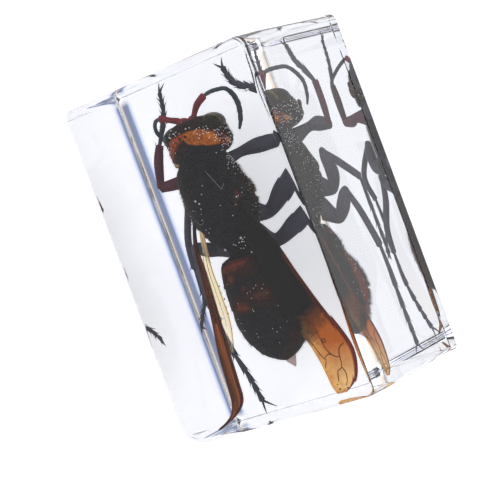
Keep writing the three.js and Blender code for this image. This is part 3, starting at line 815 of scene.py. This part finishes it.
def spinesAlong(path, places, kind, look):
    # pairs of spines that point outwards and on towards the foot
    length, radius, scatter = look[kind]["length"], look[kind]["radius"], look["spineScatter"]
    spines = []
    for place in places:
        index = min(int(place * (len(path) - 1)), len(path) - 2)
        spot, ahead = spotOnPath(path, index)
        across = ahead.cross(Vector((0.37, 0.01, 0.93))).normalized()   # no leg runs in this direction
        for sign in (-1, 1):
            lift = Vector((0, 0, random.uniform(-scatter, scatter)))
            away = (across * sign + ahead * look["spineLean"] + lift).normalized()
            root = spot + across * sign * path[index][3] * look["spineRoot"]
            spines.append(cone(root, spot + away * length, radius))
    return spines


def bristlesAlong(path, look):
    bristles = []
    total = sum((Vector(b[:3]) - Vector(a[:3])).length for a, b in zip(path, path[1:]))
    for _ in range(int(total * look["bristlesPerMillimetre"])):
        index = random.randrange(len(path) - 1)
        spot, ahead = spotOnPath(path, index)
        away = Vector([random.gauss(0, 1) for _ in range(3)])
        away = (away - ahead * away.dot(ahead)).normalized()
        root = spot + away * path[index][3] * look["bristleRoot"]
        run = away * look["bristleOutwards"] + ahead * look["bristleOnwards"]
        tip = root + run * look["bristleLength"] * random.uniform(*look["bristleLengths"])
        bristles.append(cone(root, tip, look["bristleRadius"], 3))
    return bristles


legParts = {"dark": [], "red": []}
legBristles = []
for leg in legLook.values():
    parts = legParts[leg["shade"]]
    femur, tibia = smoothPath(leg["femur"], 10), smoothPath(leg["tibia"], 10)
    tarsus = tarsusPath(leg["tarsus"], legFinish)
    legParts[leg.get("thighShade", "dark")].append(tube(femur, 20))
    parts.append(tube(tibia, 18))
    legParts["dark"].append(tube(tarsus, 14))
    for path, places, kind in ((tarsus, legFinish["tarsusShares"][1:-1], "spine"),
                               (tibia, [legFinish["spurAt"]], "spur")):
        legParts["dark"] += spinesAlong(path, places, kind, legFinish)
    foot = tarsus[-1][:3]
    for tip in leg["claws"]:
        middle = (Vector(foot) + Vector(tip)) / 2 + Vector((0, 0, legFinish["clawArch"]))
        hook = [(*spot, radius) for spot, radius in zip((foot, middle, tip), legFinish["clawRadii"])]
        legParts["dark"].append(tube(smoothPath(hook, 6), 8))
    legBristles += bristlesAlong(tibia, legFinish) + bristlesAlong(tarsus, legFinish)
newPiece("wasp_legs_dark", legParts["dark"], chitin("legShellBlueBlack", legFinish["dark"]))
newPiece("wasp_legs_front", legParts["red"], chitin("legShellRedBrown", legFinish["red"]))
print("legs made")


# Edges run from root to tip. Veins are at shares along and across the wing, with a radius.
wingLook = {
    "right_forewing": {
        "front": [(3.4, 4.6, 14.3), (5.1, 1.0, 15.1), (6.6, -2.0, 15.3), (7.7, -6.0, 15.0),
                  (8.9, -10.0, 14.6), (10.1, -14.0, 13.8), (10.4, -16.2, 13.4), (9.9, -18.2, 13.1),
                  (8.9, -19.8, 12.8), (7.3, -20.7, 12.4)],
        "back": [(2.4, 4.0, 15.0), (2.8, 1.0, 15.9), (3.1, -2.0, 15.9), (3.6, -6.0, 15.7),
                 (4.2, -10.0, 15.1), (5.1, -13.8, 13.8), (5.4, -16.2, 13.0), (5.4, -18.2, 12.3),
                 (5.5, -19.8, 12.1), (5.9, -20.7, 12.1)],
        "fold": 0.08, "root": "#181416", "middle": "#B25C1C", "tip": "#E6B878", "edge": "#6E221C",
        "rear": "#DCA45C",
        "rootUntil": 0.46, "edgeWidth": 0.12, "clearness": 0.98, "columns": 40,
        "leadingVeins": [(0.02, 0.02, 0.72, 0.11), (0.0, 0.1, 0.6, 0.09), (0.7, 0.02, 0.99, 0.06)],
        "spotVeins": [
            [(6.5, -10.9, 14.7, 0.05), (6.61, -11.43, 14.53, 0.06), (6.89, -13.02, 14.06, 0.06),
             (6.95, -15.04, 13.46, 0.05), (7.4, -16.1, 13.2, 0.06)],
            [(4.6, -11.6, 14.55, 0.05), (5.37, -13.49, 13.91, 0.06), (5.64, -14.52, 13.57, 0.06),
             (6.05, -15.98, 13.12, 0.06), (6.32, -16.42, 13.0, 0.06)],
            [(6.32, -16.42, 13.0, 0.06), (6.32, -16.2, 13.07, 0.06), (7.05, -15.88, 13.22, 0.06),
             (7.82, -16.41, 13.14, 0.06), (8.2, -16.5, 13.2, 0.05)],
            [(9.42, -15.1, 13.55, 0.05), (8.7, -15.6, 13.4, 0.07), (8.35, -16.4, 13.2, 0.08),
             (8.2, -17.2, 13.0, 0.06), (7.93, -17.7, 12.85, 0.06)],
            [(6.32, -16.42, 13.0, 0.06), (6.16, -16.8, 12.9, 0.05), (5.73, -17.35, 12.62, 0.05)],
            [(7.95, -17.83, 12.82, 0.06), (7.5, -18.0, 12.7, 0.06), (7.12, -18.2, 12.61, 0.06),
             (6.73, -19.31, 12.39, 0.06)],
            [(7.93, -17.7, 12.85, 0.06), (8.18, -18.47, 12.76, 0.06), (8.0, -19.3, 12.6, 0.05),
             (7.58, -19.98, 12.51, 0.05)],
        ],
        "stains": [(6.5, -20.2, 12.3, 0.12), (7.6, -20.3, 12.4, 0.1), (6.4, -19.6, 12.3, 0.08),
                   (5.95, -13.3, 14.0, 0.08), (7.1, -11.9, 14.4, 0.06), (9.3, -17.0, 13.3, 0.05)]},
    "left_forewing": {
        "front": [(-3.4, 4.4, 14.2), (-4.7, 1.0, 14.0), (-5.0, -3.0, 13.7), (-5.5, -8.0, 13.5),
                  (-5.9, -12.0, 13.4), (-6.2, -16.0, 13.4), (-6.5, -18.1, 13.4), (-7.8, -19.4, 13.5),
                  (-9.8, -20.3, 13.6), (-11.3, -20.8, 13.8)],
        "back": [(-4.2, 4.0, 13.4), (-5.65, 1.0, 12.9), (-6.3, -3.0, 12.8), (-7.1, -8.0, 12.8),
                 (-7.9, -12.0, 12.8), (-8.3, -16.0, 12.8), (-8.5, -18.1, 13.0), (-9.1, -19.4, 13.2),
                 (-10.2, -20.2, 13.4), (-11.4, -20.65, 13.7)],
        "fold": 0.12, "root": "#3E2018", "middle": "#96501F", "tip": "#BC7430", "edge": "#3A1612",
        "rear": "#6A2E18",
        "rootUntil": 0.2, "edgeWidth": 0.22, "clearness": 0.85, "columns": 30,
        "leadingVeins": [(0.0, 0.03, 0.99, 0.11), (0.0, 0.22, 0.9, 0.08), (0.1, 0.5, 0.8, 0.05),
                         (0.0, 0.97, 0.97, 0.1), (0.3, 0.75, 0.9, 0.05)],
        "spotVeins": [], "stains": []},
    "left_hindwing": {
        "front": [(-3.6, 2.6, 14.1), (-5.0, -2.0, 13.8), (-5.4, -5.0, 13.6), (-5.6, -8.0, 13.5),
                  (-5.8, -12.2, 13.4)],
        "back": [(-3.0, 2.0, 14.5), (-3.8, -2.0, 14.0), (-3.8, -5.0, 14.0), (-4.1, -9.0, 13.8),
                 (-5.3, -12.4, 13.5)],
        "fold": 0.05, "root": "#E4C690", "middle": "#FBEBC4", "tip": "#FDF2DC", "edge": "#A87A48",
        "rear": "#F6E0B0",
        "rootUntil": 0.1, "edgeWidth": 0.08, "clearness": 0.92, "columns": 30,
        "leadingVeins": [(0.0, 0.9, 0.93, 0.05), (0.05, 0.5, 0.8, 0.035)],
        "spotVeins": [],
        "stains": [(-3.75, -4.4, 14.0, 0.09), (-3.85, -5.2, 14.0, 0.07), (-3.7, -6.0, 14.0, 0.1),
                   (-3.9, -7.0, 13.9, 0.07), (-3.95, -7.8, 13.9, 0.08), (-4.3, -9.6, 13.8, 0.06),
                   (-4.6, -6.4, 13.8, 0.05)]},
}
wingFinish = {
    "rows": 110, "thickness": 0.05, "index": 1.03, "vein": "#5A2214", "veinRagged": 0.1,
    "edgeSteps": 20, "pleats": 5, "pleatDrift": 2, "veinTaper": 0.5,
    "stainLump": (1.3, 1.0, 0.8),      # half sizes, as shares of a stain's radius
    "stainSize": 1.5, "wobble": 0.16,
    "washes": [   # what it follows, from, to, share at from, share at to, colour
        ("along", 0.58, 0.85, 0.0, 1.0, "tip"),
        ("across", 0.6, 0.95, 0.0, 1.0, "rear"),
        ("stains", 0.45, 0.7, 0.0, 0.5, "middle"),
        ("along", 0.9, 1.0, 0.0, 0.8, "middle"),
    ],
    "edgeFade": 0.2, "rootFade": 0.05,
    "rootSlant": -0.08,     # the dark root reaches further out towards the rear edge
    "veinMarkings": [("darkRoots", "#1A1618", 2.0, [[(3.4, 4.6, 14.3, 2.0), (6.2, -1.6, 15.2, 1.6)],
                                                    [(-3.4, 4.4, 14.2, 1.5), (-4.7, 1.0, 14.0, 1.0)]])],
}


def evenShares(path, rows):
    # rows spread over the given points, so that both edges keep their pairs
    spread = np.linspace(0, len(path) - 1, rows + 1)
    columns = [np.interp(spread, range(len(path)), column) for column in zip(*path)]
    return list(zip(*columns))


def wingGrid(look, finish):
    rows, columns = finish["rows"], look["columns"]
    front, back = [evenShares(smoothPath(look[edge], finish["edgeSteps"]), rows)
                   for edge in ("front", "back")]
    grid = []
    for r in range(rows + 1):
        line = []
        run = Vector(front[min(r + 1, rows)]) - Vector(front[max(r - 1, 0)])
        face = run.cross(Vector(back[r]) - Vector(front[r])).normalized()
        for c in range(columns + 1):
            share = c / columns
            point = Vector(front[r]).lerp(Vector(back[r]), share)
            pleat = math.sin(share * finish["pleats"] * math.pi + r / rows * finish["pleatDrift"])
            point += face * look["fold"] * (math.sin(share * math.pi) * pleat)
            line.append(point)
        grid.append(line)
    return grid


def wingSheet(grid, thickness):
    rows, columns = len(grid) - 1, len(grid[0]) - 1
    points, faces = [], []
    for sign in (1, -1):
        for r in range(rows + 1):
            for c in range(columns + 1):
                run = grid[min(r + 1, rows)][c] - grid[max(r - 1, 0)][c]
                chord = grid[r][min(c + 1, columns)] - grid[r][max(c - 1, 0)]
                face = run.cross(chord).normalized()
                points.append(tuple(grid[r][c] + face * thickness / 2 * sign))
    layer = (rows + 1) * (columns + 1)

    def at(side, r, c):
        return side * layer + r * (columns + 1) + c

    for r in range(rows):
        for c in range(columns):
            faces.append((at(0, r, c), at(0, r, c + 1), at(0, r + 1, c + 1), at(0, r + 1, c)))
            faces.append((at(1, r, c), at(1, r + 1, c), at(1, r + 1, c + 1), at(1, r, c + 1)))
    for r in range(rows):
        for c in (0, columns):
            faces.append((at(0, r, c), at(0, r + 1, c), at(1, r + 1, c), at(1, r, c)))
    for c in range(columns):
        for r in (0, rows):
            faces.append((at(0, r, c), at(0, r, c + 1), at(1, r, c + 1), at(1, r, c)))
    return points, faces


def wingMaterial(name, look, finish):
    # dried wing membrane: a thin stained film that light comes through, darker towards its edges
    material, tree, output = newMaterial(name)
    along = addNode(tree, "ShaderNodeAttribute", {"attribute_name": "along"}).outputs["Fac"]
    across = addNode(tree, "ShaderNodeAttribute", {"attribute_name": "across"}).outputs["Fac"]
    place = addNode(tree, "ShaderNodeTexCoord")
    stains = addNode(tree, "ShaderNodeTexNoise", {
        "Scale": 1 / (finish["stainSize"] * unit), "Detail": 5.0, "Roughness": 0.65,
    }, {"Vector": place.outputs["Object"]})
    wobble = addNode(tree, "ShaderNodeMath", {
        "operation": "MULTIPLY_ADD", 1: finish["wobble"], 2: -finish["wobble"] / 2,
    }, {0: stains.outputs["Fac"]})
    alongWobbled, acrossWobbled = [
        addNode(tree, "ShaderNodeMath", {"operation": "ADD"}, {0: share, 1: wobble.outputs[0]}).outputs[0]
        for share in (along, across)]
    slanted = addNode(tree, "ShaderNodeMath", {"operation": "MULTIPLY_ADD", 1: finish["rootSlant"]},
                      {0: across, 2: alongWobbled})
    followed = {"along": alongWobbled, "across": acrossWobbled, "stains": stains.outputs["Fac"],
                "edge": across, "root": slanted.outputs[0]}
    edge, edgeFade = look["edgeWidth"], look["edgeWidth"] * finish["edgeFade"]
    root, rootFade = look["rootUntil"], finish["rootFade"]
    washes = finish["washes"] + [("edge", edge - edgeFade, edge + edgeFade, 1.0, 0.0, "edge"),
                                 ("root", root - rootFade, root + rootFade, 1.0, 0.0, "root")]
    colour = None
    for follows, start, end, shareAtStart, shareAtEnd, colourName in washes:
        share = addNode(tree, "ShaderNodeMapRange", {
            "From Min": start, "From Max": end, "To Min": shareAtStart, "To Max": shareAtEnd,
        }, {"Value": followed[follows]})
        under = {6: colour.outputs[2]} if colour else {}
        colour = addNode(tree, "ShaderNodeMix", {
            "data_type": "RGBA", 6: look["middle"], 7: look[colourName],
        }, {0: share.outputs[0], **under})
    # the last wash is the root's, which lets no light through
    clearness = addNode(tree, "ShaderNodeMapRange", {"To Min": look["clearness"], "To Max": 0.0},
                        {"Value": share.outputs[0]})
    surface = addNode(tree, "ShaderNodeBsdfPrincipled", {
        "Roughness": 0.06, "IOR": finish["index"], "Specular IOR Level": 0.2,
    }, {"Base Color": colour.outputs[2], "Transmission Weight": clearness.outputs[0]})
    tree.links.new(surface.outputs[0], output.inputs["Surface"])
    return material


def veinsOn(grid, look, finish):
    # raised veins: some follow the wing's length at a steady share of its width, some join given points
    parts = []
    rows, columns = len(grid) - 1, len(grid[0]) - 1
    for start, across, end, radius in look["leadingVeins"]:
        column = round(across * columns)
        spots = [grid[r][column] for r in range(int(start * rows), int(end * rows) + 1, 2)]
        radii = [radius * (1 - finish["veinTaper"] * i / len(spots)) for i in range(len(spots))]
        parts.append(tube([(*spot, reach) for spot, reach in zip(spots, radii)], 8))
    parts += [tube(smoothPath(path, 5), 8) for path in look["spotVeins"]]
    parts += [lump(spot[:3], [spot[3] * share for share in finish["stainLump"]], 6, 10)
              for spot in look["stains"]]
    return parts


veinParts = []
for wingName, look in wingLook.items():
    grid = wingGrid(look, wingFinish)
    material = wingMaterial("wingMembrane_" + wingName, look, wingFinish)
    wing = newPiece("wasp_" + wingName, [wingSheet(grid, wingFinish["thickness"])], material)
    shares = [(r / wingFinish["rows"], c / look["columns"])
              for _ in range(2) for r in range(wingFinish["rows"] + 1) for c in range(look["columns"] + 1)]
    for index, attributeName in enumerate(("along", "across")):
        attribute = wing.data.attributes.new(attributeName, "FLOAT", "POINT")
        attribute.data.foreach_set("value", np.array([s[index] for s in shares], np.float32))
    veinParts += veinsOn(grid, look, wingFinish)
veinMaterial = chitin("wingVeinsHardened", wingFinish["vein"], wingFinish["veinMarkings"],
                      wingFinish["veinRagged"])
veins = newPiece("wasp_wing_veins", veinParts, veinMaterial)
paintMarkings(veins, wingFinish["veinMarkings"])
print("wings made")


def bodySurface(pieces):
    points, faces = [], []
    for piece in pieces:
        start = len(points)
        points.extend(v.co / unit for v in piece.data.vertices)
        faces.extend(tuple(start + i for i in f.vertices) for f in piece.data.polygons)
    return BVHTree.FromPolygons(points, faces)


def aimFrom(patch):
    return Vector(random.gauss(centre, spread) for centre, spread in zip(patch["centre"], patch["spread"]))


hairLook = {
    "colour": "#4A3A2E", "radius": 0.022, "root": 0.05, "backwardLean": 0.5, "scatter": 0.3,
    "lengths": (0.5, 1.2),     # shares of the patch's length
    "patches": [
        {"centre": (-0.5, 6.0, 13.5), "spread": (4.0, 3.0, 3.0), "count": 1500, "length": 0.4},
        {"centre": (5.0, 5.0, 12.0), "spread": (0.8, 2.2, 1.8), "count": 1300, "length": 0.45},
        {"centre": (-5.0, 6.0, 11.5), "spread": (0.8, 2.0, 1.5), "count": 500, "length": 0.5},
        {"centre": (-0.6, 13.0, 12.0), "spread": (4.0, 1.6, 3.5), "count": 900, "length": 0.35},
        {"centre": (0.7, -8.5, 10.5), "spread": (4.5, 4.5, 3.5), "count": 1600, "length": 0.4},
        {"centre": (3.2, -9.5, 7.0), "spread": (2.4, 3.2, 1.2), "count": 1500, "length": 0.75},
    ],
}


def hairsOn(surface, look):
    hairs = []
    backwards = Vector((0, -look["backwardLean"], 0))
    for patch in look["patches"]:
        for _ in range(patch["count"]):
            spot, normal, _, _ = surface.find_nearest(aimFrom(patch))
            scatter = Vector(random.gauss(0, look["scatter"]) for _ in range(3))
            lean = (normal + backwards + scatter).normalized()
            length = patch["length"] * random.uniform(*look["lengths"])
            hairs.append(cone(spot - normal * look["root"], spot + lean * length, look["radius"], 3))
    return hairs


surface = bodySurface(bodyPieces)
newPiece("wasp_hairs", hairsOn(surface, hairLook) + legBristles, chitin("hairsFine", hairLook["colour"]))

bubbleLook = {
    "spacing": 0.26,
    "standOff": 0.7, "placedStandOff": 0.5,    # shares of a bubble's radius
    "patches": [
        {"centre": (3.6, 12.2, 12.6), "spread": (0.4, 0.8, 1.2), "count": 110, "size": (0.05, 0.09)},
        {"centre": (3.0, 12.6, 9.5), "spread": (0.6, 1.2, 1.8), "count": 120, "size": (0.05, 0.1)},
        {"centre": (-2.2, 13.9, 14.4), "spread": (1.3, 0.35, 0.5), "count": 20, "size": (0.06, 0.1)},
        {"centre": (-3.4, 13.0, 14.0), "spread": (0.6, 0.7, 0.6), "count": 10, "size": (0.05, 0.08)},
        {"centre": (1.8, 13.3, 14.6), "spread": (0.7, 0.3, 0.4), "count": 24, "size": (0.05, 0.09)},
        {"centre": (4.0, 9.3, 11.3), "spread": (0.4, 1.0, 1.3), "count": 90, "size": (0.04, 0.07)},
        {"centre": (5.4, 5.0, 10.4), "spread": (0.4, 2.4, 1.9), "count": 100, "size": (0.04, 0.07)},
        {"centre": (-0.5, 4.6, 15.5), "spread": (3.5, 1.8, 1.0), "count": 16, "size": (0.04, 0.07)},
        {"centre": (1.6, -0.7, 14.0), "spread": (1.2, 0.4, 0.5), "count": 16, "size": (0.06, 0.1)},
        {"centre": (3.2, -1.5, 10.5), "spread": (1.0, 1.0, 1.4), "count": 60, "size": (0.04, 0.08)},
        {"centre": (1.0, -9.0, 15.0), "spread": (3.0, 3.0, 1.0), "count": 30, "size": (0.035, 0.06)},
        {"centre": (4.8, -6.5, 9.6), "spread": (0.6, 2.6, 1.4), "count": 60, "size": (0.04, 0.07)},
    ],
    "placed": [(-1.85, 5.9, 15.8, 0.13), (-1.4, 5.45, 15.95, 0.1), (-0.7, 6.4, 16.0, 0.08),
               (3.4, 4.7, 14.9, 0.1), (2.1, -0.4, 15.2, 0.16), (2.9, -0.1, 14.4, 0.12),
               (2.5, -1.1, 14.4, 0.14), (-1.4, -0.8, 13.8, 0.14)],
}


def airMaterial():
    # air caught in the resin: each bubble's wall turns the light back, so it is drawn as a small white dot
    material, tree, output = newMaterial("trappedAirSilvery")
    place = addNode(tree, "ShaderNodeTexCoord")
    haze = addNode(tree, "ShaderNodeTexNoise", {"Scale": 1 / (0.3 * unit)},
                   {"Vector": place.outputs["Object"]})
    colour = addNode(tree, "ShaderNodeMix", {"data_type": "RGBA", 6: "#FFFFFF", 7: "#D4D8E4"},
                     {0: haze.outputs["Fac"]})
    surface = addNode(tree, "ShaderNodeBsdfPrincipled", {"Roughness": 0.3, "IOR": 1.33},
                      {"Base Color": colour.outputs[2]})
    tree.links.new(surface.outputs[0], output.inputs["Surface"])
    return material


def scatteredBubbles(surface, look):
    taken, parts = [], []
    for patch in look["patches"]:
        for _ in range(patch["count"]):
            aim = aimFrom(patch)
            radius = random.uniform(*patch["size"])
            spot, normal, _, _ = surface.find_nearest(aim)
            spot = spot + normal * radius * look["standOff"]
            if all((spot - other).length > look["spacing"] for other in taken):
                taken.append(spot)
                parts.append(lump(spot, (radius, radius, radius), 7, 12))
    for x, y, z, radius in look["placed"]:
        spot, normal, _, _ = surface.find_nearest(Vector((x, y, z)))
        parts.append(lump(spot + normal * radius * look["placedStandOff"], (radius, radius, radius), 8, 14))
    return parts


newPiece("air_bubbles", scatteredBubbles(surface, bubbleLook), airMaterial())

fluffLook = {
    "paths": [[(0.9, 8.9, 16.0), (1.6, 7.6, 16.2), (2.4, 6.3, 16.2)], [(2.4, 6.3, 16.2), (2.9, 6.9, 15.9)],
              [(-3.3, 3.9, 15.0), (-2.9, 3.3, 15.2), (-2.4, 3.1, 15.4), (-1.9, 3.4, 15.6)],
              [(-4.9, 6.3, 12.8), (-4.7, 5.0, 13.4)]],
    "radius": 0.02, "lift": 0.05, "colour": "#8E8680",
}


def fibresOn(surface, look):
    # pale threads of fluff that lie on the shell
    parts = []
    for path in look["paths"]:
        spots = []
        for step in smoothPath(path, 6):
            spot, normal, _, _ = surface.find_nearest(Vector(step[:3]))
            spots.append((*(spot + normal * look["lift"]), look["radius"]))
        parts.append(tube(spots, 6))
    return parts


newPiece("fluff_fibres", fibresOn(surface, fluffLook), chitin("fluffFibrePale", fluffLook["colour"]))

# a small bubble drawn only as a dark ring: painted shade for the dark outline that its edge gives by bending
# the light away
ringLook = {"centre": (7.35, -14.18, 14.0), "radius": 0.22, "rise": 0.12, "thickness": 0.06, "steps": 24,
            "colour": "#3A1E10"}


def ringPath(look):
    path = []
    for step in range(look["steps"] + 1):
        angle = 2 * math.pi * step / look["steps"]
        outwards = Vector((math.cos(angle), math.sin(angle), look["rise"]))
        path.append((*(Vector(look["centre"]) + outwards * look["radius"]), look["thickness"]))
    return path


newPiece("bubble_outline_painted_shade", [tube(ringPath(ringLook), 8, 0.0)], chitin("bubbleOutlinePaintedShade", ringLook["colour"]))
print("hairs and trapped air made")
